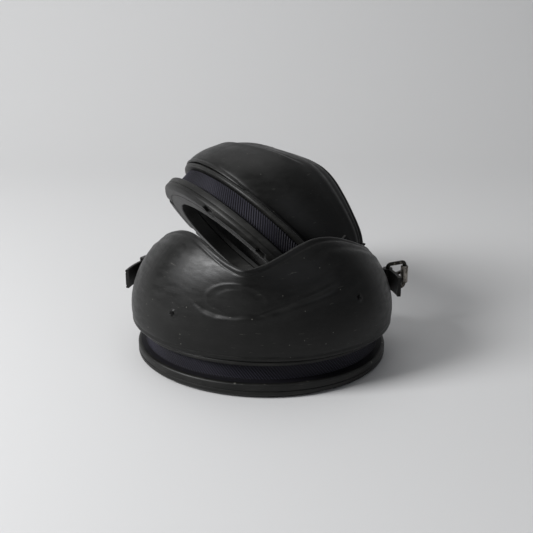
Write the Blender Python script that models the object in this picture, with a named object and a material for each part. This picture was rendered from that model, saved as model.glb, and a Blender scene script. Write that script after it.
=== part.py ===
"""A pair of slip-on rubber hoof boots: one stands, the other lies tilted in its open top.

Each boot is an open tread ring, a frame ring with a mesh band round it, and a domed rubber
skirt with a dip in front and an open back, closed there by a strap and a roller buckle.
Sizes are in millimetres, in each boot's own frame: -Y is the toe, +Z is up from the sole.
"""

import math

import bmesh
import bpy
from mathutils import Matrix, Vector

MM = 0.001
GAP = 0.3

# Plan of the boot: half an ellipse round the toe and a shallower half round the heel.
HALF_WIDTH = 78.5
TOE_DEPTH = 70.0
HEEL_DEPTH = 66.0
HEEL_ANGLE = 138.0
RING_STEPS = 36

# Layers above the sole.
TREAD_HEIGHT = 9.0
TREAD_WIDTH = 17.0
TREAD_CHAMFER = 2.4
LUG_NOTCH_DEPTH = 1.6
LUG_NOTCH_WIDTH = 7.0
LUG_NOTCH_REACH = 7.0
PARTING_HEIGHT = 4.6
PARTING_DEPTH = 0.4
PARTING_HALF = 0.3
LUG_NOTCH_ANGLES = (-118.0, -74.0, -38.0, 38.0, 74.0, 118.0)
FRAME_SETBACK = 6.4
FRAME_WALL = 2.4
BAND_THICKNESS = 1.5
BAND_TOP = 19.6
BEAD_TOP = 23.2
INSOLE_THICKNESS = 3.0

# The skirt: its lower edge stands a little proud of the tread at the sides.
SKIRT_BOTTOM = 23.5
SKIRT_WALL = 2.4
SKIRT_HALF_WIDTH = 82.0
SKIRT_TOE_DEPTH = 70.0
SKIRT_HEEL_DEPTH = 65.0
SKIRT_LEVELS = 8
SKIRT_STEPS = 30
SIDE_BULGE = 5.0
PUSH_LIFT = 0.38
PUSH_SPREAD = 0.3
PUSH_REACH = 0.8
TOE_BULGE = 2.0
WIDEST_SHARE = 0.38
SHOULDER_SHARE = 0.28
DROOP_SPREAD = 1.4

# The skirt's upper edge on the +X side, each with the plan angle of the wall under it.
RIM_KEYS = (
    (0.0, (0.0, -47.5, 69.5)),
    (12.0, (10.0, -43.0, 71.5)),
    (25.0, (20.0, -35.0, 75.5)),
    (38.0, (29.0, -26.5, 79.3)),
    (51.0, (37.0, -18.0, 81.0)),
    (63.0, (45.0, -8.5, 79.5)),
    (76.0, (53.0, 2.0, 75.0)),
    (89.0, (60.5, 12.5, 69.0)),
    (101.0, (65.5, 25.0, 62.0)),
    (112.0, (67.0, 35.0, 53.5)),
    (122.0, (65.5, 43.0, 42.5)),
    (130.0, (61.5, 46.5, 32.0)),
)

# The padded lining inside the lower skirt.
LINING_THICKNESS = 2.6
LINING_ANGLE = 82.0
LINING_START = 0.06
LINING_REACH = 0.52
LINING_GAP = 1.5
LINING_LEVELS = 4

# Strap and buckle.
STRAP_WIDTH = 12.6
STRAP_THICKNESS = 2.2
STRAP_HEIGHT = 40.0
STRAP_CLEAR = 5.6
BUCKLE_ANGLE = 118.0
CHAPE_ANGLE = 108.0
BILLET_START = 100.0
BILLET_END = 138.0
RIVET_RADIUS = 3.4
BUCKLE_WIDTH = 17.0
BUCKLE_DEPTH = 13.0
BUCKLE_WIRE = 1.25
BAR_CLEARANCE = 0.3
EYE_RADIUS = 3.2
PRONG_WIDTH = 2.0
PRONG_LENGTH = 14.6
ROLLER_RADIUS = 2.4
ROLLER_LENGTH = 11.6
KEEPER_ANGLE = 113.0
KEEPER_WALL = 1.2
KEEPER_LENGTH = 5.0
KEEPER_GAP = 0.45
STRAP_TAIL = 5.0
DRAIN_RADIUS = 1.1
DRAIN_DRILL = 24.0
FRONT_DRAINS = ((-34.0, 45.4), (55.4, 54.5))

# Where the two boots stand in the pair, and how the second one is tilted.
FRONT_YAW = -8.0
FRONT_PLACE = (0.0, 0.0, 0.0)
FRONT_SHAPE = (18.0, 0.0, 0.0)
STACKED_SHAPE = (-8.0, 18.5, 2.5)
STACKED_PLACE = (-12.5, 40.0, 45.45)
PAIR_SHIFT = (-4.15, -34.8, 0.0)
STACKED_UP = (0.660, 0.385, 0.640)
STACKED_TOE = (-0.70, -0.10, 0.71)
FRONT_OPEN = (0.0, 17.0)
STACKED_OPEN = (95.0, -17.0)

RUBBER = ((0.020, 0.020, 0.019, 1.0), 0.55, 0.0)
MESH = ((0.030, 0.028, 0.045, 1.0), 0.85, 0.0)
FOAM = ((0.014, 0.014, 0.014, 1.0), 0.90, 0.0)
STEEL = ((0.30, 0.29, 0.27, 1.0), 0.38, 1.0)


def clear_scene():
    """Removes what a new Blender file starts with."""
    for obj in list(bpy.data.objects):
        bpy.data.objects.remove(obj, do_unlink=True)


def make_material(name, finish):
    """One Principled material for one piece."""
    colour, roughness, metallic = finish
    material = bpy.data.materials.new(name)
    material.use_nodes = True
    shader = material.node_tree.nodes["Principled BSDF"]
    shader.inputs["Base Color"].default_value = colour
    shader.inputs["Roughness"].default_value = roughness
    shader.inputs["Metallic"].default_value = metallic
    return material


def make_object(name, mesh_data, finish, parent=None):
    """A named object for a mesh whose points are in millimetres."""
    mesh = bpy.data.meshes.new(name)
    bmesh.ops.scale(mesh_data, vec=(MM, MM, MM), verts=mesh_data.verts)
    bmesh.ops.recalc_face_normals(mesh_data, faces=mesh_data.faces)
    mesh_data.to_mesh(mesh)
    mesh_data.free()
    mesh.shade_smooth()
    mesh.set_sharp_from_angle(angle=math.radians(35.0))
    mesh.materials.append(make_material(name, finish))
    obj = bpy.data.objects.new(name, mesh)
    bpy.context.scene.collection.objects.link(obj)
    obj.parent = parent
    return obj


def make_empty(name, matrix, parent=None):
    """A frame that pieces hang on, placed by its matrix in millimetres."""
    empty = bpy.data.objects.new(name, None)
    bpy.context.scene.collection.objects.link(empty)
    empty.parent = parent
    place = matrix.copy()
    place.translation = matrix.translation * MM
    empty.matrix_local = place
    return empty


def plan_point(angle, half_width, toe, heel, grow=0.0):
    """A point of the plan outline; angle 0 is the toe and 90 the +X side."""
    turn = math.radians(angle)
    depth = toe if math.cos(turn) > 0 else heel
    return Vector(((half_width + grow) * math.sin(turn), -(depth + grow) * math.cos(turn), 0.0))


def ring_point(angle, grow):
    """A point of the tread's outline, moved out by grow."""
    return plan_point(angle, HALF_WIDTH, TOE_DEPTH, HEEL_DEPTH, grow)


def skirt_point(angle, grow):
    """A point of the skirt's lower outline, moved out by grow."""
    return plan_point(angle, SKIRT_HALF_WIDTH, SKIRT_TOE_DEPTH, SKIRT_HEEL_DEPTH, grow)


def loft(sections, closed):
    """Joins closed sections of equal length into one body, with end caps if it isn't a ring."""
    body = bmesh.new()
    rows = [[body.verts.new(point) for point in section] for section in sections]
    pairs = list(zip(rows, rows[1:]))
    if closed:
        pairs.append((rows[-1], rows[0]))
    for first, second in pairs:
        for i in range(len(first)):
            j = (i + 1) % len(first)
            body.faces.new((first[i], first[j], second[j], second[i]))
    if not closed:
        body.faces.new(rows[0])
        body.faces.new(rows[-1])
    return body


def horseshoe(profile):
    """A band open at the heel, from a profile of (distance out from the tread's outline, height)."""
    sections = []
    for step in range(RING_STEPS + 1):
        angle = HEEL_ANGLE * (2.0 * step / RING_STEPS - 1.0)
        sections.append([ring_point(angle, out) + Vector((0, 0, z)) for out, z in profile])
    return loft(sections, closed=False)


def smooth_between(keys, before, position):
    """Catmull-Rom value at a position counted in keys; before is the key ahead of the first."""
    last = len(keys) - 1
    index = min(int(position), last - 1)
    t = position - index
    near = [keys[index - 1] if index else before, keys[index], keys[index + 1], keys[min(index + 2, last)]]
    value = []
    for a, b, c, d in zip(*near):
        value.append(
            0.5 * (2 * b + (c - a) * t + (2 * a - 5 * b + 4 * c - d) * t**2
                   + (3 * b - a - 3 * c + d) * t**3)
        )
    return value


def pressed(angle, squeeze):
    """What a +X width is multiplied by when that side is pressed in."""
    return 1.0 - squeeze * math.sin(math.radians(angle)) / SKIRT_HALF_WIDTH


def skirt_column(position, push, squeeze, droop):
    """The wall's four Bezier points at a position along the rim, -1 to 1 from side to side.

    push is how far the toe of the rim is pressed forward, squeeze is how far the +X side is
    pressed in, and droop is how far the two side lobes sink.
    """
    keys = [(angle, *point) for angle, point in RIM_KEYS]
    across = (-keys[1][0], -keys[1][1], *keys[1][2:])
    angle, x, y, z = smooth_between(keys, across, abs(position) * (len(keys) - 1))
    bulge = TOE_BULGE + (SIDE_BULGE - TOE_BULGE) * math.sin(math.radians(angle)) ** 2
    foot = skirt_point(angle, 0.0) + Vector((0, 0, SKIRT_BOTTOM))
    forward = max(0.0, math.cos(math.radians(PUSH_REACH * angle))) ** PUSH_SPREAD
    sink = droop * math.sin(math.radians(min(angle * DROOP_SPREAD, 180.0))) ** 2
    rim = Vector((x, y - push * forward, z + PUSH_LIFT * push * forward - sink))
    rise = rim.z - foot.z
    low = skirt_point(angle, bulge) + Vector((0, 0, SKIRT_BOTTOM + WIDEST_SHARE * rise))
    high = rim.lerp(low, 0.5)
    high.z = rim.z - SHOULDER_SHARE * (rim.z - low.z)
    side = -1.0 if position < 0 else pressed(angle, squeeze)
    return [Vector((side * p.x, p.y, p.z)) for p in (foot, low, high, rim)]


def bezier(points, t):
    """The cubic's point at t."""
    a, b, c, d = points
    s = 1.0 - t
    return a * s**3 + b * (3 * s * s * t) + c * (3 * s * t * t) + d * t**3


def skirt_surface(steps, levels, shape):
    """An open sheet of the skirt's outer face."""
    sheet = bmesh.new()
    rows = []
    for step in range(steps + 1):
        column = skirt_column(2.0 * step / steps - 1.0, *shape)
        rows.append([sheet.verts.new(bezier(column, k / levels)) for k in range(levels + 1)])
    for left, right in zip(rows, rows[1:]):
        for k in range(levels):
            sheet.faces.new((left[k], right[k], right[k + 1], left[k + 1]))
    return sheet


def solidify(obj, thickness):
    """Gives a sheet its wall, inwards from the modelled face."""
    modifier = obj.modifiers.new("wall", "SOLIDIFY")
    modifier.thickness = thickness * MM
    modifier.offset = -1.0
    modifier.use_even_offset = True


def facing_out(obj):
    """Turns a sheet's faces away from the boot's middle."""
    body = bmesh.new()
    body.from_mesh(obj.data)
    body.faces.ensure_lookup_table()
    face = body.faces[len(body.faces) // 2]
    centre = face.calc_center_median()
    if face.normal.dot(Vector((centre.x, centre.y, 0.0))) < 0:
        bmesh.ops.reverse_faces(body, faces=body.faces)
    body.to_mesh(obj.data)
    body.free()


def turned(profile, steps=16):
    """A closed turned body round Z, from a profile of (radius, height) that starts and ends at 0."""
    body = bmesh.new()
    rows = []
    for radius, z in profile:
        if radius == 0:
            rows.append([body.verts.new((0, 0, z))])
            continue
        rows.append([body.verts.new((radius * math.cos(math.tau * k / steps),
                                     radius * math.sin(math.tau * k / steps), z))
                     for k in range(steps)])
    for low, high in zip(rows, rows[1:]):
        for k in range(steps):
            j = (k + 1) % steps
            corners = [low[k % len(low)], low[j % len(low)], high[j % len(high)], high[k % len(high)]]
            unique = [v for i, v in enumerate(corners) if v not in corners[:i]]
            body.faces.new(unique)
    return body


def wall_distance(angle, height, shape):
    """How far the skirt's outer face lies out from the strap's run, at an angle and height."""
    angles = [key[0] for key in RIM_KEYS]
    index = max(i for i, value in enumerate(angles[:-1]) if value <= angle)
    share = (angle - angles[index]) / (angles[index + 1] - angles[index])
    column = skirt_column((index + share) / (len(angles) - 1), *shape)
    low, high = 0.0, 1.0
    for _ in range(20):
        middle = 0.5 * (low + high)
        if bezier(column, middle).z < height:
            low = middle
        else:
            high = middle
    face = bezier(column, low)
    run = strap_point(angle, 0.0, shape[1])
    return Vector((face.x, face.y, 0.0)).length - run.length


def wall_frame(angle, height, out, squeeze):
    """A frame on the boot's side: X outward, Y towards the heel along the wall, Z up."""
    origin = strap_point(angle, out, squeeze)
    ahead = strap_point(angle + 1.0, out, squeeze) - strap_point(angle - 1.0, out, squeeze)
    tangent = ahead.normalized()
    outward = tangent.cross(Vector((0, 0, 1)))
    matrix = Matrix((outward, tangent, Vector((0, 0, 1)))).transposed().to_4x4()
    matrix.translation = origin + Vector((0, 0, height))
    return matrix


def strap_point(angle, out, squeeze):
    """A point of the strap's run round the boot, out from the skirt's widest line."""
    point = skirt_point(angle, SIDE_BULGE + out)
    point.x *= pressed(angle, squeeze)
    return point


def rivet_body():
    """A low domed head, its axis along X and its foot at the origin."""
    body = turned(((0, 0), (RIVET_RADIUS, 0), (RIVET_RADIUS, 0.5), (RIVET_RADIUS * 0.72, 1.2), (0, 1.5)))
    bmesh.ops.rotate(body, verts=body.verts, matrix=Matrix.Rotation(math.radians(90), 3, "Y"))
    return body


def tube(inner, outer, length, steps=16):
    """A plain tube round Z, centred on the origin."""
    sections = []
    for step in range(steps):
        turn = math.tau * step / steps
        ray = Vector((math.cos(turn), math.sin(turn), 0.0))
        sections.append([ray * radius + Vector((0, 0, z * length / 2))
                         for radius, z in ((inner, -1), (outer, -1), (outer, 1), (inner, 1))])
    return loft(sections, closed=True)


def boolean(obj, name, operation, cutter):
    """Joins or cuts with a helper that isn't rendered."""
    cutter.hide_render = True
    cutter.display_type = "WIRE"
    modifier = obj.modifiers.new(name, "BOOLEAN")
    modifier.operation = operation
    modifier.solver = "EXACT"
    modifier.object = cutter


def block(low, high):
    """A plain box between two corners."""
    body = bmesh.new()
    bmesh.ops.create_cube(body, size=1.0)
    size = Vector(high) - Vector(low)
    bmesh.ops.scale(body, vec=size, verts=body.verts)
    bmesh.ops.translate(body, vec=Vector(low) + size / 2, verts=body.verts)
    return body


def bar_loop(half_x, half_z, wire, sides=8, corner=2.2, corner_steps=3):
    """A rectangular wire frame in the XZ plane with rounded corners."""
    path = []
    for cx, cz, start in ((half_x, half_z, 0), (-half_x, half_z, 90),
                          (-half_x, -half_z, 180), (half_x, -half_z, 270)):
        centre = Vector((cx - math.copysign(corner, cx), 0, cz - math.copysign(corner, cz)))
        for step in range(corner_steps + 1):
            turn = math.radians(start + 90 * step / corner_steps)
            direction = Vector((math.cos(turn), 0, math.sin(turn)))
            path.append((centre + direction * corner, direction))
    sections = []
    for point, direction in path:
        sections.append([point + direction * wire * math.cos(math.tau * k / sides)
                         + Vector((0, 1, 0)) * wire * math.sin(math.tau * k / sides)
                         for k in range(sides)])
    return loft(sections, closed=True)


def tread_ring(name, parent):
    """The outsole: an open ring with a chamfered lower edge and short lug notches."""
    inner = -TREAD_WIDTH
    profile = ((inner, 0.0), (-TREAD_CHAMFER, 0.0), (0.0, TREAD_CHAMFER),
               (0.0, PARTING_HEIGHT - PARTING_HALF), (-PARTING_DEPTH, PARTING_HEIGHT),
               (0.0, PARTING_HEIGHT + PARTING_HALF), (0.0, TREAD_HEIGHT - 0.8),
               (-0.8, TREAD_HEIGHT), (inner, TREAD_HEIGHT))
    ring = make_object(name + "tread_ring", horseshoe(profile), RUBBER, parent)
    cutter = bmesh.new()
    size = (LUG_NOTCH_WIDTH, 2 * LUG_NOTCH_REACH, 2 * LUG_NOTCH_DEPTH)
    for angle in LUG_NOTCH_ANGLES:
        made = bmesh.ops.create_cube(cutter, size=1.0)["verts"]
        bmesh.ops.scale(cutter, vec=size, verts=made)
        bmesh.ops.rotate(cutter, verts=made, matrix=Matrix.Rotation(math.radians(angle), 3, "Z"))
        bmesh.ops.translate(cutter, vec=ring_point(angle, 0.0), verts=made)
    notches = make_object(name + "lug_cutter", cutter, RUBBER, parent)
    boolean(ring, "lug notches", "DIFFERENCE", notches)


def base_rings(name, parent):
    """The frame ring, the mesh band round it, the bead above and the insole ledge inside."""
    bottom = TREAD_HEIGHT + GAP
    back = -FRAME_SETBACK - GAP
    inside = back - FRAME_WALL
    frame = ((inside, bottom), (back, bottom), (back, BEAD_TOP), (inside, BEAD_TOP))
    make_object(name + "frame_ring", horseshoe(frame), FOAM, parent)
    face = back + GAP + BAND_THICKNESS
    band = ((back + GAP, bottom), (face, bottom), (face, BAND_TOP), (back + GAP, BAND_TOP))
    make_object(name + "mesh_band", horseshoe(band), MESH, parent)
    low = BAND_TOP + GAP
    bead = ((back + GAP, low), (-2.4, low), (-1.0, low + 1.0), (-1.0, BEAD_TOP - 1.0),
            (-2.0, BEAD_TOP), (back + GAP, BEAD_TOP))
    make_object(name + "clamp_bead", horseshoe(bead), RUBBER, parent)
    ledge = inside - GAP
    top = bottom + INSOLE_THICKNESS
    insole = ((-TREAD_WIDTH, bottom), (ledge, bottom), (ledge, top), (-TREAD_WIDTH, top))
    make_object(name + "insole_ring", horseshoe(insole), FOAM, parent)


def drill_holes(name, skirt, parent, drains):
    """Cuts a radial hole through the skirt at each plan angle and height."""
    drill = bmesh.new()
    for angle, height in drains:
        hole = bmesh.ops.create_cone(drill, cap_ends=True, segments=12, radius1=DRAIN_RADIUS,
                                     radius2=DRAIN_RADIUS, depth=DRAIN_DRILL)["verts"]
        bmesh.ops.rotate(drill, verts=hole, matrix=Matrix.Rotation(math.radians(90), 3, "X"))
        bmesh.ops.rotate(drill, verts=hole, matrix=Matrix.Rotation(math.radians(angle), 3, "Z"))
        centre = skirt_point(angle, 0.0) + Vector((0, 0, height))
        bmesh.ops.translate(drill, vec=centre, verts=hole)
    cutter = make_object(name + "drain_cutter", drill, RUBBER, parent)
    boolean(skirt, "drain holes", "DIFFERENCE", cutter)


def skirt_parts(name, parent, shape, drains):
    """The moulded skirt with any drain holes, and the padded lining inside its lower part."""
    sheet = skirt_surface(2 * SKIRT_STEPS, SKIRT_LEVELS, shape)
    skirt = make_object(name + "skirt", sheet, RUBBER, parent)
    facing_out(skirt)
    solidify(skirt, SKIRT_WALL)
    if drains:
        drill_holes(name, skirt, parent, drains)
    reach = LINING_ANGLE / RIM_KEYS[-1][0]
    lining_sheet = bmesh.new()
    rows = []
    for step in range(SKIRT_STEPS + 1):
        column = skirt_column(-reach + 2 * reach * step / SKIRT_STEPS, *shape)
        row = []
        for k in range(LINING_LEVELS + 1):
            t = LINING_START + (LINING_REACH - LINING_START) * k / LINING_LEVELS
            point = bezier(column, t)
            inward = Vector((-point.x, -point.y, 0)).normalized()
            row.append(lining_sheet.verts.new(point + inward * (SKIRT_WALL + LINING_GAP)))
        rows.append(row)
    for left, right in zip(rows, rows[1:]):
        for k in range(LINING_LEVELS):
            lining_sheet.faces.new((left[k], right[k], right[k + 1], left[k + 1]))
    lining = make_object(name + "lining_pad", lining_sheet, FOAM, parent)
    facing_out(lining)
    solidify(lining, LINING_THICKNESS)


def strap_band(name, parent, start, end, side, steps, squeeze, tip=0.0):
    """A flat strap standing on edge round the boot, with a tapered tip."""
    sections = []
    for step in range(steps + 1):
        share = step / steps
        angle = start + (end - start) * share
        half = STRAP_WIDTH / 2
        if tip and share > 1 - tip:
            half *= max(0.3, math.sqrt(max(0.0, 1 - ((share - 1 + tip) / tip) ** 2)))
        corners = []
        for out, z in ((GAP, -half), (GAP + STRAP_THICKNESS, -half),
                       (GAP + STRAP_THICKNESS, half), (GAP, half)):
            point = strap_point(angle, out, squeeze)
            corners.append(Vector((side * point.x, point.y, STRAP_HEIGHT + z)))
        sections.append(corners)
    return make_object(name, loft(sections, closed=False), RUBBER, parent)


def rivet_set(name, parent, frame, side, depth):
    """A rivet head outside the strap and its washer inside the skirt."""
    flip = Matrix.Scale(side, 4, Vector((1, 0, 0)))
    place = flip @ frame
    if side < 0:
        place = place @ Matrix.Scale(-1, 4, Vector((0, 1, 0)))
    head_frame = make_empty(name + "_rivet_place", place, parent)
    head = make_object(name + "_rivet", rivet_body(), STEEL, head_frame)
    head.location.x = (STRAP_THICKNESS + 2 * GAP) * MM
    washer = turned(((0, 0), (RIVET_RADIUS + 1, 0), (RIVET_RADIUS + 1, 0.8), (0, 0.8)))
    bmesh.ops.rotate(washer, verts=washer.verts, matrix=Matrix.Rotation(math.radians(90), 3, "Y"))
    plate = make_object(name + "_washer", washer, STEEL, head_frame)
    plate.location.x = -depth * MM


def buckle(name, parent, swings, squeeze):
    """A roller buckle in the chape's eye; its frame and its prong each swing about the bar, Z.

    swings are the frame's angle out from the wall and the prong's angle from the frame.
    """
    place = make_empty(name + "buckle_place",
                       wall_frame(BUCKLE_ANGLE, STRAP_HEIGHT, STRAP_THICKNESS / 2 + GAP, squeeze),
                       parent)
    turn = Matrix.Rotation(math.radians(swings[0]), 4, "Z")
    swing = make_empty(name + "buckle_swing", turn, place)
    loop = bar_loop(BUCKLE_DEPTH / 2, BUCKLE_WIDTH / 2, BUCKLE_WIRE)
    frame = make_object(name + "buckle_frame", loop, STEEL, swing)
    frame.location.x = BUCKLE_DEPTH / 2 * MM
    bore = BUCKLE_WIRE + BAR_CLEARANCE
    roller = make_object(name + "buckle_roller", tube(bore, ROLLER_RADIUS, ROLLER_LENGTH), STEEL, swing)
    roller.location.x = BUCKLE_DEPTH * MM
    tilt = make_empty(name + "prong_swing", Matrix.Rotation(math.radians(swings[1]), 4, "Z"), swing)
    prong = make_object(name + "buckle_prong", tube(bore, bore + 0.9, PRONG_WIDTH), STEEL, tilt)
    half = PRONG_WIDTH / 2
    needle = block((bore + 0.3, -0.7, -half * 0.9), (PRONG_LENGTH, 0.7, half * 0.9))
    boolean(prong, "needle", "UNION", make_object(name + "needle_shape", needle, STEEL, tilt))


def chape(name, parent, squeeze):
    """The short strap that holds the buckle: a band that ends in an eye round the bar."""
    end = BUCKLE_ANGLE - math.degrees((BUCKLE_WIRE + BAR_CLEARANCE + 0.9) / SKIRT_HALF_WIDTH)
    strap = strap_band(name + "chape_strap", parent, CHAPE_ANGLE - STRAP_TAIL, end, 1.0, 5, squeeze)
    place = wall_frame(BUCKLE_ANGLE, STRAP_HEIGHT, STRAP_THICKNESS / 2 + GAP, squeeze)
    eye_place = make_empty(name + "eye_place", place, parent)
    ring = tube(BUCKLE_WIRE + BAR_CLEARANCE, EYE_RADIUS, STRAP_WIDTH - 0.4)
    eye = make_object(name + "eye_shape", ring, RUBBER, eye_place)
    boolean(strap, "eye", "UNION", eye)
    reach = EYE_RADIUS + 1.0
    half = PRONG_WIDTH / 2 + BAR_CLEARANCE
    slot = make_object(name + "slot_cutter", block((-reach, -reach, -half), (reach, reach, half)),
                       RUBBER, eye_place)
    boolean(strap, "prong slot", "DIFFERENCE", slot)


def keeper(name, parent):
    """The loop that holds the billet's free end, round the strap on the -X side."""
    frame = wall_frame(KEEPER_ANGLE, STRAP_HEIGHT, GAP + STRAP_THICKNESS / 2, 0.0)
    flip = Matrix.Scale(-1, 4, Vector((1, 0, 0)))
    place = flip @ frame @ Matrix.Scale(-1, 4, Vector((0, 1, 0)))
    keeper_place = make_empty(name + "keeper_place", place, parent)
    x = STRAP_THICKNESS / 2 + KEEPER_GAP
    z = STRAP_WIDTH / 2 + KEEPER_GAP
    sections = []
    for sx, sz in ((1, 1), (-1, 1), (-1, -1), (1, -1)):
        inner = Vector((sx * x, 0, sz * z))
        outer = Vector((sx * (x + KEEPER_WALL), 0, sz * (z + KEEPER_WALL)))
        along = Vector((0, KEEPER_LENGTH / 2, 0))
        sections.append([inner - along, outer - along, outer + along, inner + along])
    make_object(name + "keeper_loop", loft(sections, closed=True), RUBBER, keeper_place)


def boot(name, matrix, swings, shape, drains):
    """Builds one whole boot in its own frame and places it."""
    parent = make_empty(name + "boot", matrix)
    tread_ring(name, parent)
    base_rings(name, parent)
    skirt_parts(name, parent, shape, drains)
    squeeze = shape[1]
    chape(name, parent, squeeze)
    keeper(name, parent)
    start = BILLET_START - STRAP_TAIL
    strap_band(name + "billet_strap", parent, start, BILLET_END, -1.0, 14, 0.0, tip=0.2)
    fixings = (("chape", CHAPE_ANGLE, 1.0, squeeze), ("billet", BILLET_START, -1.0, 0.0))
    for label, angle, side, pinch in fixings:
        depth = STRAP_CLEAR - wall_distance(angle, STRAP_HEIGHT, (shape[0], pinch, shape[2]))
        rivet_set(name + label, parent, wall_frame(angle, STRAP_HEIGHT, 0.0, pinch), side, depth)
    buckle(name, parent, swings, squeeze)


def tilted(place, up, toe):
    """The matrix of a boot from its up and toe directions."""
    z = Vector(up).normalized()
    y = -(Vector(toe) - z * Vector(toe).dot(z)).normalized()
    matrix = Matrix((y.cross(z), y, z)).transposed().to_4x4()
    matrix.translation = Vector(place)
    return matrix


def main():
    """Clears the scene and builds both boots."""
    clear_scene()
    shift = Matrix.Translation(Vector(PAIR_SHIFT))
    front = Matrix.Translation(Vector(FRONT_PLACE)) @ Matrix.Rotation(math.radians(FRONT_YAW), 4, "Z")
    stacked = tilted(STACKED_PLACE, STACKED_UP, STACKED_TOE)
    boot("front_", shift @ front, FRONT_OPEN, FRONT_SHAPE, FRONT_DRAINS)
    boot("stacked_", shift @ stacked, STACKED_OPEN, STACKED_SHAPE, ())


main()
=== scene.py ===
"""Looks for a pair of moulded rubber hoof boots: one upright, one leaning in its open top.

Every boot is built in its own frame in millimetres: -Y is the toe, +Z is up from the sole, and
an angle of 0 is the toe and of 90 the +X side. A boot's pose then places it in the CAD frame.
"""

import logging
import math
from dataclasses import dataclass
from enum import Enum
from typing import Sequence

import bpy
import numpy as np
from mathutils import Matrix, Vector, noise


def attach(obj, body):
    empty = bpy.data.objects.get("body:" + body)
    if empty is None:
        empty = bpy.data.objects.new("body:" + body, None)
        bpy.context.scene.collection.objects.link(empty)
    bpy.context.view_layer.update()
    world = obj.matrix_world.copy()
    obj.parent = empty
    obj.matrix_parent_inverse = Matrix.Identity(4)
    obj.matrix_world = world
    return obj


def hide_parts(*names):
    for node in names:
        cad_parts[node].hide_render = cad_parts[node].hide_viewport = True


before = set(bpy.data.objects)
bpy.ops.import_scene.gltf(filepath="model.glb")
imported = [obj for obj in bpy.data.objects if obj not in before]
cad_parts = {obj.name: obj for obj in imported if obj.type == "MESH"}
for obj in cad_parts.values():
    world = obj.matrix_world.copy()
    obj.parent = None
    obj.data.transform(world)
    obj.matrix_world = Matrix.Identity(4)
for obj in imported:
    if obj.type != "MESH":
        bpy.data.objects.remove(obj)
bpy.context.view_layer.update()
LOG = logging.getLogger("hoof_boots")
MM = 0.001
MULTIPLY = {"operation": "MULTIPLY"}
SMOOTH = {"interpolation_type": "SMOOTHSTEP"}
COLOURS = {"data_type": "RGBA"}
Grid = np.ndarray
Object = bpy.types.Object
Material = bpy.types.Material
Tree = bpy.types.NodeTree
Socket = bpy.types.NodeSocket


# ---------------------------------------------------------------- colours and nodes


def linear(hex_colour: str) -> tuple[float, float, float, float]:
    """Turns an sRGB hex colour to linear RGBA.

    Args:
        hex_colour: Six hex digits after a hash.

    Returns:
        Linear red, green and blue, with an alpha of 1.
    """
    values = [int(hex_colour[i:i + 2], 16) / 255 for i in (1, 3, 5)]
    scaled = [v / 12.92 if v <= 0.04045 else ((v + 0.055) / 1.055) ** 2.4 for v in values]
    return (*scaled, 1.0)


def per_mm(size_mm: float) -> float:
    """Returns a texture scale whose pattern repeats every size_mm."""
    return 1.0 / (size_mm * MM)


def set_inputs(tree: Tree, node: bpy.types.Node, inputs: dict) -> None:
    """Sets a node's inputs by name or number, and links those given as an output socket."""
    for key, value in inputs.items():
        if isinstance(value, Socket):
            tree.links.new(value, node.inputs[key])
        else:
            node.inputs[key].default_value = value


def wave_scale(size_mm: float) -> float:
    """Returns a wave texture's scale for one band every size_mm: 20 bands fill a scale of tau."""
    return per_mm(size_mm) * math.tau / 20


def add_node(tree: Tree, kind: str, settings: dict, inputs: dict,
             output: str | int = 0) -> Socket:
    """Adds one node with its settings and its inputs.

    Args:
        tree: The node tree to add to.
        kind: The node's Blender type name, without its first word ShaderNode.
        settings: Attributes to set on the node.
        inputs: Input name or number to a value, or to an output socket to link from.
        output: Name or number of the output that is wanted.

    Returns:
        The wanted output's socket.
    """
    node = tree.nodes.new("ShaderNode" + kind)
    for key, value in settings.items():
        setattr(node, key, value)
    set_inputs(tree, node, inputs)
    return node.outputs[output]


def new_material(name: str) -> tuple[Material, Tree, bpy.types.Node]:
    """Makes a material and returns it with its tree and its Principled shader."""
    material = bpy.data.materials.new(name)
    material.use_nodes = True
    tree = material.node_tree
    return material, tree, tree.nodes["Principled BSDF"]


# ---------------------------------------------------------------- finishes


@dataclass(frozen=True)
class Surface:
    """A finish: a named material whose shader inputs come from the kind of surface."""

    name: str = "surface"

    def inputs(self, tree: Tree) -> dict:
        """Builds the finish's nodes and returns its shader's inputs by name."""
        raise NotImplementedError

    def make(self) -> Material:
        """Builds the material."""
        material, tree, shader = new_material(self.name)
        set_inputs(tree, shader, self.inputs(tree))
        return material


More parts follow.
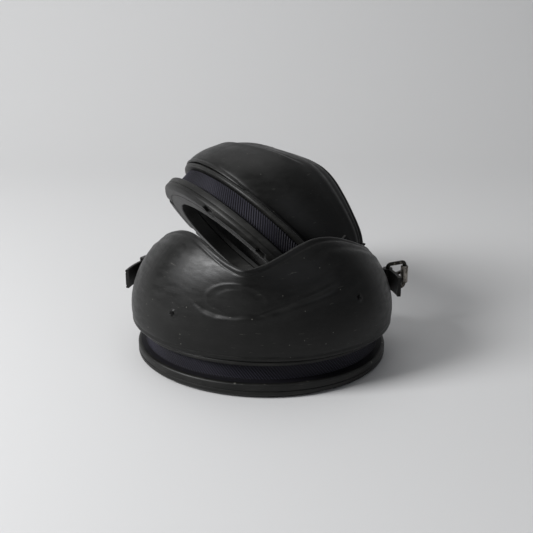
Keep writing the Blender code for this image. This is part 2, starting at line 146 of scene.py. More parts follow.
@dataclass(frozen=True)
class MouldedRubber(Surface):
    """Compression-moulded black rubber: a matt skin with a grey bloom, scuffs and lint on it."""

    name: str = "moulded_rubber"
    deep: str = "#0b0b0a"
    bloom: str = "#191918"
    lint: str = "#6b6a64"
    rough_low: float = 0.33
    rough_high: float = 0.50
    bloom_mm: float = 34.0
    grain_mm: float = 0.9
    scuff_mm: float = 3.4
    lint_mm: float = 4.2
    lint_size: float = 0.05
    lint_share: float = 0.22
    ior: float = 1.50
    specular: float = 0.24

    def inputs(self, tree: Tree) -> dict:
        """The rubber's nodes."""
        place = add_node(tree, "TexCoord", {}, {}, "Object")
        cloud = add_node(tree, "TexNoise", {}, {"Vector": place, "Scale": per_mm(self.bloom_mm),
                                                "Detail": 5.0, "Roughness": 0.62})
        smear_place = add_node(tree, "Mapping", {}, {"Vector": place, "Scale": (1.0, 1.0, 3.2),
                                                     "Rotation": (0.2, 0.5, 0.0)})
        smear = add_node(tree, "TexNoise", {}, {"Vector": smear_place, "Detail": 7.0,
                                                "Scale": per_mm(self.scuff_mm * 3), "Roughness": 0.7})
        patches = add_node(tree, "MapRange", SMOOTH, {"Value": cloud, "From Min": 0.36, "From Max": 0.68})
        streaks = add_node(tree, "MapRange", SMOOTH, {"Value": smear, "From Min": 0.3, "From Max": 0.75})
        bloomed = add_node(tree, "Math", MULTIPLY, {0: patches, 1: streaks})
        skin = add_node(tree, "Mix", COLOURS, {0: bloomed, 6: linear(self.deep),
                                               7: linear(self.bloom)}, 2)
        cells = add_node(tree, "TexVoronoi", {}, {"Vector": place, "Scale": per_mm(self.lint_mm),
                                                  "Randomness": 1.0}, "Distance")
        speck = add_node(tree, "MapRange", SMOOTH,
                         {"Value": cells, "From Min": self.lint_size, "From Max": self.lint_size * 2.2,
                          "To Min": 1.0, "To Max": 0.0})
        chosen = add_node(tree, "SeparateColor", {}, {0: cells.node.outputs["Color"]})
        bare = 1.0 - self.lint_share
        some = add_node(tree, "MapRange", SMOOTH,
                        {"Value": chosen, "From Min": bare, "From Max": bare + 0.04})
        specks = add_node(tree, "Math", MULTIPLY, {0: speck, 1: some})
        scratch_place = add_node(tree, "Mapping", {}, {"Vector": place, "Scale": (1.0, 1.0, 9.0),
                                                       "Rotation": (0.5, 0.9, 0.3)})
        scratch = add_node(tree, "TexNoise", {}, {"Vector": scratch_place, "Detail": 3.0,
                                                  "Scale": per_mm(self.scuff_mm * 2)})
        scratched = add_node(tree, "MapRange", SMOOTH,
                             {"Value": scratch, "From Min": 0.70, "From Max": 0.74, "To Max": 0.45})
        marks = add_node(tree, "Math", {"operation": "MAXIMUM"}, {0: specks, 1: scratched})
        marked = add_node(tree, "Math", MULTIPLY, {0: marks, 1: 0.55})
        grain = add_node(tree, "TexNoise", {}, {"Vector": place, "Scale": per_mm(self.grain_mm),
                                                "Detail": 3.0})
        pitted = add_node(tree, "Bump", {}, {"Strength": 0.16, "Distance": 0.12 * MM, "Height": grain})
        wavy = add_node(tree, "Bump", {}, {"Strength": 0.2, "Distance": 0.3 * MM, "Height": smear,
                                           "Normal": pitted})
        return {
            "Base Color": add_node(tree, "Mix", COLOURS, {0: marked, 6: skin, 7: linear(self.lint)}, 2),
            "Roughness": add_node(tree, "MapRange", SMOOTH,
                                  {"Value": smear, "From Min": 0.25, "From Max": 0.75,
                                   "To Min": self.rough_low, "To Max": self.rough_high}),
            "Normal": wavy, "IOR": self.ior, "Specular IOR Level": self.specular}


@dataclass(frozen=True)
class TwillWebbing(Surface):
    """Woven nylon twill with a dark violet cast: cords run up it at a slant and catch the light, shown as
    a painted highlight on their crests; its plain foot carries painted shade in the valley colour.
    """

    name: str = "twill_webbing"
    valley: str = "#08070c"
    crest_highlight: str = "#23222d"
    cord_mm: float = 1.5
    thread_mm: float = 0.6
    plain_shaded_foot_mm: float = 8.0
    slant: float = 38.0
    roughness: float = 0.62
    specular: float = 0.2

    def inputs(self, tree: Tree) -> dict:
        """The webbing's nodes; its map is in metres along the band and up from its foot."""
        place = add_node(tree, "TexCoord", {}, {}, "UV")
        turned = add_node(tree, "Mapping", {}, {"Vector": place,
                                                "Rotation": (0.0, 0.0, -math.radians(self.slant))})
        cords = add_node(tree, "TexWave", {"bands_direction": "X"},
                         {"Vector": turned, "Scale": wave_scale(self.cord_mm), "Distortion": 0.6,
                          "Detail": 1.0}, "Fac")
        threads = add_node(tree, "TexWave", {"bands_direction": "Y"},
                           {"Vector": turned, "Scale": wave_scale(self.thread_mm),
                            "Distortion": 0.4}, "Fac")
        woven = add_node(tree, "Math", {"operation": "MULTIPLY_ADD"}, {0: threads, 1: 0.35, 2: cords})
        # Painted shade: below this height the band's foot has no weave and takes the dark valley colour,
        # which stands in for the shade at the bottom of the band.
        edge = self.plain_shaded_foot_mm * MM
        above_shaded_foot = add_node(tree, "MapRange", SMOOTH,
                         {"Value": add_node(tree, "SeparateXYZ", {}, {0: place}, "Y"),
                          "From Min": edge - 0.5 * MM, "From Max": edge})
        height = add_node(tree, "Math", MULTIPLY, {0: woven, 1: above_shaded_foot})
        lit = add_node(tree, "MapRange", SMOOTH, {"Value": height, "From Min": 0.35, "From Max": 1.2})
        return {
            # Painted highlight: the cords' crests are coloured lighter where they would catch the light.
            "Base Color": add_node(tree, "Mix", COLOURS, {0: lit, 6: linear(self.valley),
                                                          7: linear(self.crest_highlight)}, 2),
            "Normal": add_node(tree, "Bump", {}, {"Strength": 0.9, "Distance": 0.3 * MM,
                                                  "Height": height}),
            "Roughness": self.roughness, "Specular IOR Level": self.specular}


@dataclass(frozen=True)
class CellFoam(Surface):
    """Closed-cell EVA foam: a soft dull black with fine open pores on its cut faces."""

    name: str = "eva_foam"
    deep: str = "#171716"
    worn: str = "#2c2b29"
    pore_mm: float = 1.1
    soil_mm: float = 14.0
    roughness: float = 0.88

    def inputs(self, tree: Tree) -> dict:
        """The foam's nodes."""
        place = add_node(tree, "TexCoord", {}, {}, "Object")
        pores = add_node(tree, "TexVoronoi", {}, {"Vector": place, "Scale": per_mm(self.pore_mm)})
        soil = add_node(tree, "TexNoise", {}, {"Vector": place, "Scale": per_mm(self.soil_mm),
                                               "Detail": 5.0})
        soiled = add_node(tree, "MapRange", SMOOTH, {"Value": soil, "From Min": 0.4, "From Max": 0.7})
        return {
            "Base Color": add_node(tree, "Mix", COLOURS, {0: soiled, 6: linear(self.deep),
                                                          7: linear(self.worn)}, 2),
            "Normal": add_node(tree, "Bump", {}, {"Strength": 0.5, "Distance": 0.15 * MM,
                                                  "Height": pores}),
            "Roughness": self.roughness}


@dataclass(frozen=True)
class BrushedLining(Surface):
    """Brushed nylon knit glued over foam: charcoal, with a soft nap and rows of small loops."""

    name: str = "brushed_knit"
    deep: str = "#1c1b1d"
    nap: str = "#3a393c"
    loop_mm: float = 1.4
    fuzz_mm: float = 2.5
    roughness: float = 0.92
    sheen: float = 0.5

    def inputs(self, tree: Tree) -> dict:
        """The knit's nodes; its map is in metres round and up the pad."""
        place = add_node(tree, "TexCoord", {}, {}, "UV")
        rows = add_node(tree, "TexWave", {"bands_direction": "X"},
                        {"Vector": place, "Scale": wave_scale(self.loop_mm), "Distortion": 1.2,
                         "Detail": 2.0}, "Fac")
        fuzz = add_node(tree, "TexNoise", {}, {"Vector": place, "Scale": per_mm(self.fuzz_mm),
                                               "Detail": 6.0})
        height = add_node(tree, "Math", MULTIPLY, {0: rows, 1: fuzz})
        raised = add_node(tree, "MapRange", SMOOTH, {"Value": height, "From Min": 0.1, "From Max": 0.6})
        return {
            "Base Color": add_node(tree, "Mix", COLOURS, {0: raised, 6: linear(self.deep),
                                                          7: linear(self.nap)}, 2),
            "Normal": add_node(tree, "Bump", {}, {"Strength": 0.6, "Distance": 0.25 * MM,
                                                  "Height": height}),
            "Roughness": self.roughness, "Sheen Weight": self.sheen}


@dataclass(frozen=True)
class PlatedSteel(Surface):
    """Nickel-plated steel that has dulled: dark and smoky where it is untouched, bright where rubbed."""

    name: str = "plated_steel"
    dull: str = "#2b2a27"
    rubbed: str = "#6e6a62"
    rough_low: float = 0.28
    rough_high: float = 0.48
    stain_mm: float = 4.0
    wear: float = 0.5

    def inputs(self, tree: Tree) -> dict:
        """The steel's nodes."""
        place = add_node(tree, "TexCoord", {}, {}, "Object")
        stain = add_node(tree, "TexNoise", {}, {"Vector": place, "Scale": per_mm(self.stain_mm),
                                                "Detail": 6.0, "Roughness": 0.65})
        reach = 0.4 * self.wear
        worn = add_node(tree, "MapRange", SMOOTH,
                        {"Value": stain, "From Min": 0.72 - reach, "From Max": 0.85 - reach})
        return {
            "Base Color": add_node(tree, "Mix", COLOURS, {0: worn, 6: linear(self.dull),
                                                          7: linear(self.rubbed)}, 2),
            "Roughness": add_node(tree, "MapRange", SMOOTH,
                                  {"Value": stain, "From Min": 0.3, "From Max": 0.7,
                                   "To Min": self.rough_low, "To Max": self.rough_high}),
            "Normal": add_node(tree, "Bump", {}, {"Strength": 0.2, "Distance": 0.05 * MM,
                                                  "Height": stain}),
            "Metallic": 1.0}


class Finish(Enum):
    """The finishes that the boots' pieces take."""

    SKIRT_RUBBER = MouldedRubber()
    TREAD_RUBBER = MouldedRubber("tread_rubber", "#121211", "#262624", rough_low=0.42, lint_mm=9.0,
                                 bloom_mm=22.0, lint_share=0.25)
    STRAP_RUBBER = MouldedRubber("strap_rubber", "#141413", "#232321", rough_low=0.46, lint_share=0.1)
    WEBBING = TwillWebbing()
    FOAM = CellFoam()
    LINING = BrushedLining()
    STEEL = PlatedSteel()
    WORN_STEEL = PlatedSteel("rubbed_steel", "#5a574f", "#96918a", 0.30, 0.46, 3.0, 0.8)


MATERIALS: dict[Finish, Material] = {}


def dress(obj: Object, finish: Finish) -> None:
    """Gives an object one finish, made the first time that it is asked for."""
    if finish not in MATERIALS:
        MATERIALS[finish] = finish.value.make()
    obj.data.materials.clear()
    obj.data.materials.append(MATERIALS[finish])


# ---------------------------------------------------------------- the boot's plan and pose


def plan_point(angle: Grid, half_width: float, toe: float, heel: float, grow: Grid | float) -> Grid:
    """Points of an outline of two half ellipses.

    Args:
        angle: Plan angles in degrees.
        half_width: Half the width across the sides.
        toe: Depth of the toe's half.
        heel: Depth of the heel's half.
        grow: Distance moved out.

    Returns:
        An array with one x, y, z row for each angle.
    """
    turn = np.radians(angle)
    depth = np.where(np.cos(turn) > 0, toe, heel)
    return np.stack([(half_width + grow) * np.sin(turn), -(depth + grow) * np.cos(turn),
                     np.zeros_like(turn)], axis=-1)


def soft_step(value: Grid, low: float, high: float) -> Grid:
    """A smooth rise from 0 at low to 1 at high."""
    t = np.clip((value - low) / (high - low), 0.0, 1.0)
    return t * t * (3 - 2 * t)


def ridge(value: Grid, centre: Grid | float, width: float) -> Grid:
    """A smooth bump of height 1 about a centre, gone at a width to either side."""
    return np.exp(-((value - centre) / (0.5 * width)) ** 2)


@dataclass(frozen=True)
class BootPose:
    """Where one boot stands in the pair, and how its skirt and buckle are pressed."""

    name: str
    matrix: Matrix
    push: float
    squeeze: float
    droop: float
    frame_swing: float
    holed: bool

    def node(self, piece: str) -> str:
        """The CAD node's name of one of the boot's pieces."""
        return f"{self.name}_{piece}"

    def place(self, points: Grid) -> Grid:
        """Takes points from the boot's frame in millimetres to the CAD frame in metres."""
        turn = np.array(self.matrix.to_3x3())
        return (points @ turn.T + np.array(self.matrix.translation)) * MM


def standing(place: Sequence[float], yaw: float) -> Matrix:
    """The frame of an upright boot."""
    return Matrix.Translation(Vector(place)) @ Matrix.Rotation(math.radians(yaw), 4, "Z")


def leaning(place: Sequence[float], up: Sequence[float], toe: Sequence[float]) -> Matrix:
    """The frame of a tilted boot, from its up and toe directions."""
    z = Vector(up).normalized()
    y = -(Vector(toe) - z * Vector(toe).dot(z)).normalized()
    matrix = Matrix((y.cross(z), y, z)).transposed().to_4x4()
    matrix.translation = Vector(place)
    return matrix


# ---------------------------------------------------------------- meshes


class Cap(Enum):
    """How a loft's two ends are closed."""

    NONE = 0
    FACE = 1
    STRIP = 2


def lofted(name: str, grid: Grid, pose: BootPose, wrap_rows: bool, cap: Cap) -> Object:
    """Makes a smooth mesh from closed sections of equal length.

    Args:
        name: The object's name.
        grid: Rows of section points in the boot's frame, as rows by points by three.
        pose: The boot that it belongs to.
        wrap_rows: Whether the last section joins the first.
        cap: How open ends are closed.

    Returns:
        The new object, with a map in metres along the rows and round the section.
    """
    rows, count = grid.shape[:2]
    points = pose.place(grid.reshape(-1, 3))
    index = np.arange(rows * count).reshape(rows, count)
    nxt = np.roll(index, -1, axis=1)
    lower, upper = (index, np.roll(index, -1, axis=0)) if wrap_rows else (index[:-1], index[1:])
    low_next, up_next = (nxt, np.roll(nxt, -1, axis=0)) if wrap_rows else (nxt[:-1], nxt[1:])
    quads = np.stack([lower, low_next, up_next, upper], axis=-1).reshape(-1, 4).tolist()
    faces = quads
    if cap is Cap.FACE:
        faces = quads + [index[0, ::-1].tolist(), index[-1].tolist()]
    elif cap is Cap.STRIP:
        for row, turned in ((index[0], True), (index[-1], False)):
            for i in range(count // 2 - 1):
                face = [row[i], row[i + 1], row[count - 2 - i], row[count - 1 - i]]
                faces.append([int(v) for v in (face[::-1] if turned else face)])
    mesh = bpy.data.meshes.new(name)
    mesh.from_pydata(points.tolist(), [], faces)
    along = np.linalg.norm(np.diff(grid, axis=0), axis=-1).mean(axis=1).cumsum()
    across = np.linalg.norm(np.diff(grid, axis=1), axis=-1).mean(axis=0).cumsum()
    u = np.concatenate([[0.0], along]) * MM
    v = np.concatenate([[0.0], across]) * MM
    layer = mesh.uv_layers.new(name="UVMap")
    corner = np.empty(len(mesh.loops), np.int64)
    mesh.loops.foreach_get("vertex_index", corner)
    layer.data.foreach_set("uv", np.stack([u[corner // count], v[corner % count]], axis=-1).ravel())
    mesh.shade_smooth()
    mesh.set_sharp_from_angle(angle=math.radians(40.0))
    obj = bpy.data.objects.new(name, mesh)
    bpy.context.scene.collection.objects.link(obj)
    facing_out(obj)
    return obj


def facing_out(obj: Object) -> None:
    """Turns a closed mesh's faces outwards if its signed volume is negative."""
    mesh = obj.data
    mesh.calc_loop_triangles()
    points = np.empty(len(mesh.vertices) * 3)
    mesh.vertices.foreach_get("co", points)
    points = points.reshape(-1, 3)
    corners = np.empty(len(mesh.loop_triangles) * 3, np.int64)
    mesh.loop_triangles.foreach_get("vertices", corners)
    a, b, c = (points[corners.reshape(-1, 3)[:, k]] for k in range(3))
    if np.einsum("ij,ij->i", a, np.cross(b, c)).sum() < 0:
        mesh.flip_normals()


def rounded_box_section(x_low: float, x_high: float, z_low: float, z_high: float, radius: float,
                        steps: int = 4) -> Grid:
    """A closed outline of a box with round corners, as rows of x, z."""
    points = []
    corners = ((x_high, z_low, -90), (x_high, z_high, 0), (x_low, z_high, 90), (x_low, z_low, 180))
    for x, z, start in corners:
        centre_x = x - math.copysign(radius, x - (x_low + x_high) / 2)
        centre_z = z - math.copysign(radius, z - (z_low + z_high) / 2)
        for step in range(steps + 1):
            turn = math.radians(start + 90 * step / steps)
            points.append((centre_x + radius * math.cos(turn), centre_z + radius * math.sin(turn)))
    return np.array(points)


def settle(obj: Object, pose: BootPose, body: str, piece: str,
           finish: Finish) -> Object:
    """Dresses a piece, hangs it on its body and lets it stand for its CAD node."""
    dress(obj, finish)
    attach(obj, f"{pose.name}_{body}")
    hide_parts(pose.node(piece))
    LOG.info("%s: %d faces", obj.name, len(obj.data.polygons))
    return obj


def made(label: str, grid: Grid, pose: BootPose, piece: str, finish: Finish,
         body: str = "shell", wrap_rows: bool = False, cap: Cap = Cap.FACE) -> Object:
    """Lofts one piece and settles it on its body.

    Args:
        label: The object's name after the boot's.
        grid: Rows of section points in the boot's frame.
        pose: The boot that it belongs to.
        piece: The CAD piece that it stands for.
        finish: Its finish.
        body: The moving body that carries it.
        wrap_rows: Whether the last section joins the first.
        cap: How open ends are closed.

    Returns:
        The new object.
    """
    obj = lofted(f"{pose.name}_{label}", grid, pose, wrap_rows, cap)
    return settle(obj, pose, body, piece, finish)


# ---------------------------------------------------------------- sole


@dataclass
class Sole:
    """The open tread ring with the frame, the webbing band, the bead and the insole ledge."""

    pose: BootPose
    half_width: float = 78.35
    toe_depth: float = 69.85
    heel_depth: float = 65.85
    heel_angle: float = 138.0
    steps: int = 320
    tread_height: float = 9.0
    tread_width: float = 17.0
    chamfer: float = 2.4
    parting_height: float = 4.6
    notch_angles: tuple[float, ...] = (-118.0, -74.0, -38.0, 38.0, 74.0, 118.0)
    notch_width: float = 7.0
    notch_reach: float = 7.0
    notch_depth: float = 1.6
    setback: float = 6.4
    frame_wall: float = 2.4
    band_thickness: float = 1.5
    band_top: float = 19.6
    foot_height: float = 9.12
    bead_top: float = 23.2
    nose_out: float = -1.0
    nose_back: float = -3.2
    nose_depth: float = 1.5
    nose_half_height: float = 1.62
    insole_thickness: float = 3.0
    insole_crown: float = 0.5
    insole_crown_half: float = 4.0
    foam_radius: float = 0.5
    gap: float = 0.3
    plain_steps: int = 200
    roll_steps: int = 240
    cord_steps: int = 1100
    cord_height: float = 0.3
    selvedge_height: float = 0.35
    selvedge_width: float = 0.9
    notch_ease: float = 0.6

    def sweep(self, profile: Grid, steps: int | None = None) -> Grid:
        """Carries a section of distance out and height round the horseshoe."""
        angles = np.linspace(-self.heel_angle, self.heel_angle, (steps or self.steps) + 1)
        out = profile[None, :, 0]
        grown = np.repeat(angles[:, None], len(profile), axis=1)
        points = plan_point(grown, self.half_width, self.toe_depth, self.heel_depth, out)
        points[..., 2] = profile[None, :, 1]
        return points

    def tread_profile(self) -> Grid:
        """The tread's section: a rounded bottom chamfer, a parting groove and a soft top edge."""
        c, h, p = self.chamfer, self.tread_height, self.parting_height
        inner = -self.tread_width
        points = [(inner, 0.5), (inner + 0.5, 0.0)]
        points += [(x, 0.0) for x in np.linspace(inner + 1.2, -8.4, 4)]
        points += [(-8.0, 0.5), (-7.6, 0.5), (-7.2, 0.0)]
        points += [(x, 0.0) for x in (-6.0, -4.6, -3.4)]
        points += [(-c, 0.08), (-c + 0.5, 0.42), (-0.55, c - 0.75), (-0.12, c - 0.2), (0.0, c + 0.3)]
        points += [(0.0, p - 0.7), (-0.05, p - 0.4), (-0.45, p - 0.12), (-0.45, p + 0.12),
                   (-0.05, p + 0.4), (0.0, p + 0.7)]
        points += [(0.0, h - 1.4), (-0.12, h - 0.8), (-0.45, h - 0.3), (-0.95, h - 0.05), (-1.6, h)]
        points += [(x, h) for x in (-5.0, -9.0, -13.0)]
        points += [(inner + 0.5, h), (inner, h - 0.5)]
        return np.array(points)

    def tread(self) -> Object:
        """The outsole ring with its six short lug notches."""
        grid = self.sweep(self.tread_profile())
        out = self.tread_profile()[None, :, 0]
        angles = np.linspace(-self.heel_angle, self.heel_angle, self.steps + 1)
        mask = np.zeros_like(grid[..., 2])
        for notch in self.notch_angles:
            arc = np.abs(angles - notch) * math.pi / 180 * self.half_width
            side = 1.0 - soft_step(arc, self.notch_width / 2 - 0.4, self.notch_width / 2 + 0.9)
            end = soft_step(out, -self.notch_reach - self.notch_ease, -self.notch_reach)
            mask = np.maximum(mask, side[:, None] * end)
        grid[..., 2] = np.maximum(grid[..., 2], self.notch_depth * mask)
        return made("outsole", grid, self.pose, "tread_ring", Finish.TREAD_RUBBER)

    def frame_ring(self) -> Object:
        """The foam wall that the webbing is glued on."""
        back = -self.setback - self.gap
        section = rounded_box_section(back - self.frame_wall, back, self.tread_height + self.gap,
                                      self.bead_top, self.foam_radius)
        return made("foam_wall", self.sweep(section, self.plain_steps), self.pose, "frame_ring",
                    Finish.FOAM)

    def webbing(self) -> Object:
        """The twill band: slanting cords between two selvedges, and a turned-out foot on the tread."""
        bottom = self.tread_height + self.gap
        back = -self.setback
        levels = np.linspace(bottom + 0.6, self.band_top - 0.2, 30)
        front = np.stack([np.full_like(levels, back + self.band_thickness - 0.35), levels], axis=-1)
        foot = [(back, bottom), (-2.4, self.foot_height), (-1.9, self.foot_height + 0.2),
                (-2.4, self.foot_height + 0.4), (-4.3, self.foot_height + 0.55)]
        section = np.concatenate([foot, front, [(back, self.band_top)]])
        grid = self.sweep(section, self.cord_steps)
        faced = slice(len(foot), -1)
        arc = np.linalg.norm(np.diff(grid[:, faced.start], axis=0), axis=-1).cumsum()
        arc = np.concatenate([[0.0], arc])[:, None]
        cord = Finish.WEBBING.value.cord_mm
        slant = math.radians(Finish.WEBBING.value.slant)
        phase = (arc * math.cos(slant) + levels[None, :] * math.sin(slant)) / cord
        crown = self.cord_height * np.abs(np.sin(math.pi * phase)) ** 0.8
        edge = np.maximum(ridge(levels, levels[0] + 0.4, self.selvedge_width),
                          ridge(levels, levels[-1] - 0.4, self.selvedge_width))
        lift = crown * (1 - edge) + self.selvedge_height * edge
        direction = grid[:, faced, :2] / np.linalg.norm(grid[:, faced, :2], axis=-1, keepdims=True)
        grid[:, faced, :2] += direction * lift[..., None]
        return made("webbing_band", grid, self.pose, "mesh_band", Finish.WEBBING)

    def bead(self) -> Object:
        """The clamp bead over the webbing, with a round nose."""
        back = -self.setback
        low, top = self.band_top + self.gap, self.bead_top
        middle = (low + top) / 2
        nose = [(self.nose_out - self.nose_depth * (1 - math.cos(turn)),
                 middle + self.nose_half_height * math.sin(turn))
                for turn in np.radians(np.linspace(-80, 80, 13))]
        section = np.array([(back, low), (self.nose_back, low), *nose, (self.nose_back, top),
                            (back, top)])
        return made("clamp_roll", self.sweep(section, self.roll_steps), self.pose, "clamp_bead",
                    Finish.TREAD_RUBBER)

    def insole(self) -> Object:
        """The foam ledge that the hoof's edge stands on, with a crowned top."""
        ledge = -self.setback - 2 * self.gap - self.frame_wall
        bottom = self.tread_height + self.gap
        inner = -self.tread_width
        middle, half = (ledge + inner) / 2, self.insole_crown_half
        crown = [(x, bottom + self.insole_thickness - self.insole_crown * ((x - middle) / half) ** 2)
                 for x in np.linspace(ledge, inner, 9)]
        section = np.array([(inner, bottom), (ledge, bottom), *crown])
        return made("insole_ledge", self.sweep(section, self.plain_steps), self.pose, "insole_ring",
                    Finish.FOAM)

    def build(self) -> None:
        """Builds and dresses the whole sole."""
        for make in (self.tread, self.frame_ring, self.webbing, self.bead, self.insole):
            make()


# ---------------------------------------------------------------- skirt


@dataclass
class Skirt:
    """The domed rubber skirt, open at the back, and the padded lining inside it."""

    pose: BootPose
    rim_keys: tuple[tuple[float, float, float, float], ...] = (
        (0.0, 0.0, -47.5, 69.5), (12.0, 10.0, -43.0, 71.5), (25.0, 20.0, -35.0, 75.5),
        (38.0, 29.0, -26.5, 79.3), (51.0, 37.0, -18.0, 81.0), (63.0, 45.0, -8.5, 79.5),
        (76.0, 53.0, 2.0, 75.0), (89.0, 60.5, 12.5, 69.0), (101.0, 65.5, 25.0, 62.0),
        (112.0, 67.0, 35.0, 53.5), (122.0, 65.5, 43.0, 42.5), (130.0, 61.5, 46.5, 32.0))
    bottom: float = 23.5
    wall: float = 2.4
    half_width: float = 82.0
    toe_depth: float = 70.0
    heel_depth: float = 65.0
    side_bulge: float = 5.0
    toe_bulge: float = 2.0
    push_lift: float = 0.38
    push_spread: float = 0.3
    push_reach: float = 0.8
    steps: int = 360
    levels: int = 96
    roll_steps: int = 8
    roll_extra: float = 0.35
    foot_roll: float = 0.25
    drains: tuple[tuple[float, float], ...] = ((-34.0, 45.4), (55.4, 54.5))
    drain_radius: float = 1.1
    crease_keys: tuple[tuple[float, float], ...] = (
        (-29.0, 58.5), (-23.2, 55.2), (-18.9, 52.4), (-13.0, 50.6), (-4.0, 50.8), (7.0, 52.6),
        (16.0, 56.0), (26.0, 59.4), (33.0, 61.2), (41.0, 63.4), (52.0, 66.6))
    crease_fade: float = 14.0
    crease_lip: float = 0.7
    crease_depth: float = 0.6
    crease_hollow: float = 0.4
    hem_height: float = 0.45
    hem_groove: float = 0.25
    rim_height: float = 0.30
    rim_groove: float = 0.28
    shoulder_height: float = 0.3
    badge_line: float = 0.26
    badge_lift: float = 0.16
    drain_lip: float = 0.4
    drain_depth: float = 1.7
    badge_angle: float = -4.0
    badge_height: float = 60.0
    badge_half: tuple[float, float] = (20.0, 9.0)
    wave_size: float = 30.0
    wave_height: float = 0.45
    wave_every: int = 6
    inset: float = 0.9
    seat_half_width: float = 72.6
    seat_toe_depth: float = 64.1
    seat_heel_depth: float = 60.1
    lining_angle: float = 82.0
    lining_start: float = 0.06
    lining_reach: float = 0.52
    lining_channels: int = 9
    lining_thickness: float = 2.6
    lining_least: float = 0.5
    lining_gap: float = 1.5

    def columns(self, position: Grid) -> Grid:
        """The wall's four Bezier points at positions of -1 to 1 from side to side.

        Args:
            position: Positions along the rim.

        Returns:
            An array of positions by four by three.
        """
        keys = np.array(self.rim_keys)
        last = len(keys) - 1
        spot = np.abs(position) * last
        index = np.minimum(spot.astype(int), last - 1)
        t = (spot - index)[:, None]
        a, b, c, d = (keys[np.clip(np.abs(index + k), 0, last)] for k in (-1, 0, 1, 2))
        # The key before the first is the second one on the other side.
        a = np.where(index[:, None] == 0, a * np.array([-1.0, -1.0, 1.0, 1.0]), a)
        value = 0.5 * (2 * b + (c - a) * t + (2 * a - 5 * b + 4 * c - d) * t ** 2
                       + (3 * b - a - 3 * c + d) * t ** 3)
        angle, x, y, z = value.T
        turn = np.radians(angle)
        bulge = self.toe_bulge + (self.side_bulge - self.toe_bulge) * np.sin(turn) ** 2
        foot = plan_point(angle, self.half_width, self.toe_depth, self.heel_depth, 0.0)
        foot[:, 2] = self.bottom
        forward = np.maximum(0.0, np.cos(self.push_reach * turn)) ** self.push_spread
        sink = self.pose.droop * np.sin(np.radians(np.minimum(angle * 1.4, 180.0))) ** 2
        rim = np.stack([x, y - self.pose.push * forward,
                        z + self.push_lift * self.pose.push * forward - sink], axis=-1)
        low = plan_point(angle, self.half_width, self.toe_depth, self.heel_depth, bulge)
        low[:, 2] = self.bottom + 0.38 * (rim[:, 2] - self.bottom)
        high = (rim + low) / 2
        high[:, 2] = rim[:, 2] - 0.28 * (rim[:, 2] - low[:, 2])
        pressed = 1.0 - self.pose.squeeze * np.sin(turn) / self.half_width
        side = np.where(position < 0, -1.0, pressed)
        columns = np.stack([foot, low, high, rim], axis=1)
        columns[..., 0] *= side[:, None]
        return columns

    def sheet(self, position: Grid, share: Grid) -> Grid:
        """The plain outer face.

        Args:
            position: Positions along the rim.
            share: Shares of the way from foot to rim.

        Returns:
            An array of positions by shares by three.
        """
        a, b, c, d = np.moveaxis(self.columns(position)[:, :, None, :], 1, 0)
        t = share[None, :, None]
        s = 1 - t
        return a * s ** 3 + 3 * b * s * s * t + 3 * c * s * t * t + d * t ** 3

    @staticmethod
    def normals(points: Grid) -> Grid:
        """Unit normals of a grid of points, turned away from the boot's middle."""
        across = np.gradient(points, axis=0)
        up = np.gradient(points, axis=1)
        normal = np.cross(across, up)
        normal /= np.maximum(np.linalg.norm(normal, axis=-1, keepdims=True), 1e-9)
        outward = np.sign((normal[..., :2] * points[..., :2]).sum(axis=-1).mean())
        return normal * outward

    def relief(self, points: Grid, share: Grid, angle: Grid) -> Grid:
        """How far the moulded surface stands off the plain wall.

        Args:
            points: The plain outer face.
            share: Shares of the way from foot to rim.
            angle: Plan angle of each column.

        Returns:
            Heights in millimetres, positive outwards.
        """
        t, z, a = share[None, :], points[..., 2], angle[:, None]
        length = np.linalg.norm(np.diff(points, axis=1), axis=-1)
        run = np.concatenate([np.zeros((len(points), 1)), length.cumsum(axis=1)], axis=1)
        to_rim = run[:, -1:] - run
        lip = self.hem_height * ridge(run, 0.9, 1.8) - self.hem_groove * ridge(run, 2.6, 1.0)
        rolled = self.rim_height * ridge(to_rim, 0.2, 1.6) - self.rim_groove * ridge(to_rim, 2.2, 1.2)
        keys = np.array(self.crease_keys)
        middle = np.interp(angle, keys[:, 0], keys[:, 1])[:, None]
        left, right, fade = keys[0, 0], keys[-1, 0], self.crease_fade
        inside = soft_step(a, left, left + fade) * (1 - soft_step(a, right - fade, right))
        crease = inside * (self.crease_lip * ridge(z, middle - 3.2, 6.0)
                           - self.crease_depth * ridge(z, middle, 2.6)
                           - self.crease_hollow * ridge(z, middle + 3.5, 8.0))
        shoulder = (self.shoulder_height * soft_step(np.abs(a), 24, 60)
                    * (ridge(t, 0.80, 0.10) - 0.8 * ridge(t, 0.87, 0.06)))
        along = (a - self.badge_angle) * math.pi / 180 * (self.toe_depth + 6)
        oval = np.hypot(along / self.badge_half[0], (z - self.badge_height) / self.badge_half[1])
        badge = self.badge_line * ridge(oval, 1.0, 0.16)
        badge += self.badge_lift * (1 - soft_step(oval, 0.62, 0.74))
        holes = np.zeros_like(z)
        for hole_angle, hole_height in self.drains if self.pose.holed else ():
            arc = (a - hole_angle) * math.pi / 180 * (self.half_width - 4)
            far = np.hypot(arc, z - hole_height)
            holes += self.drain_lip * ridge(far, self.drain_radius + 0.9, 1.2)
            holes -= self.drain_depth * (1 - soft_step(far, self.drain_radius * 0.6,
                                                       self.drain_radius + 0.4))
        waves = self.unevenness(points)
        return lip + rolled + crease + shoulder + badge + holes + waves - self.inset

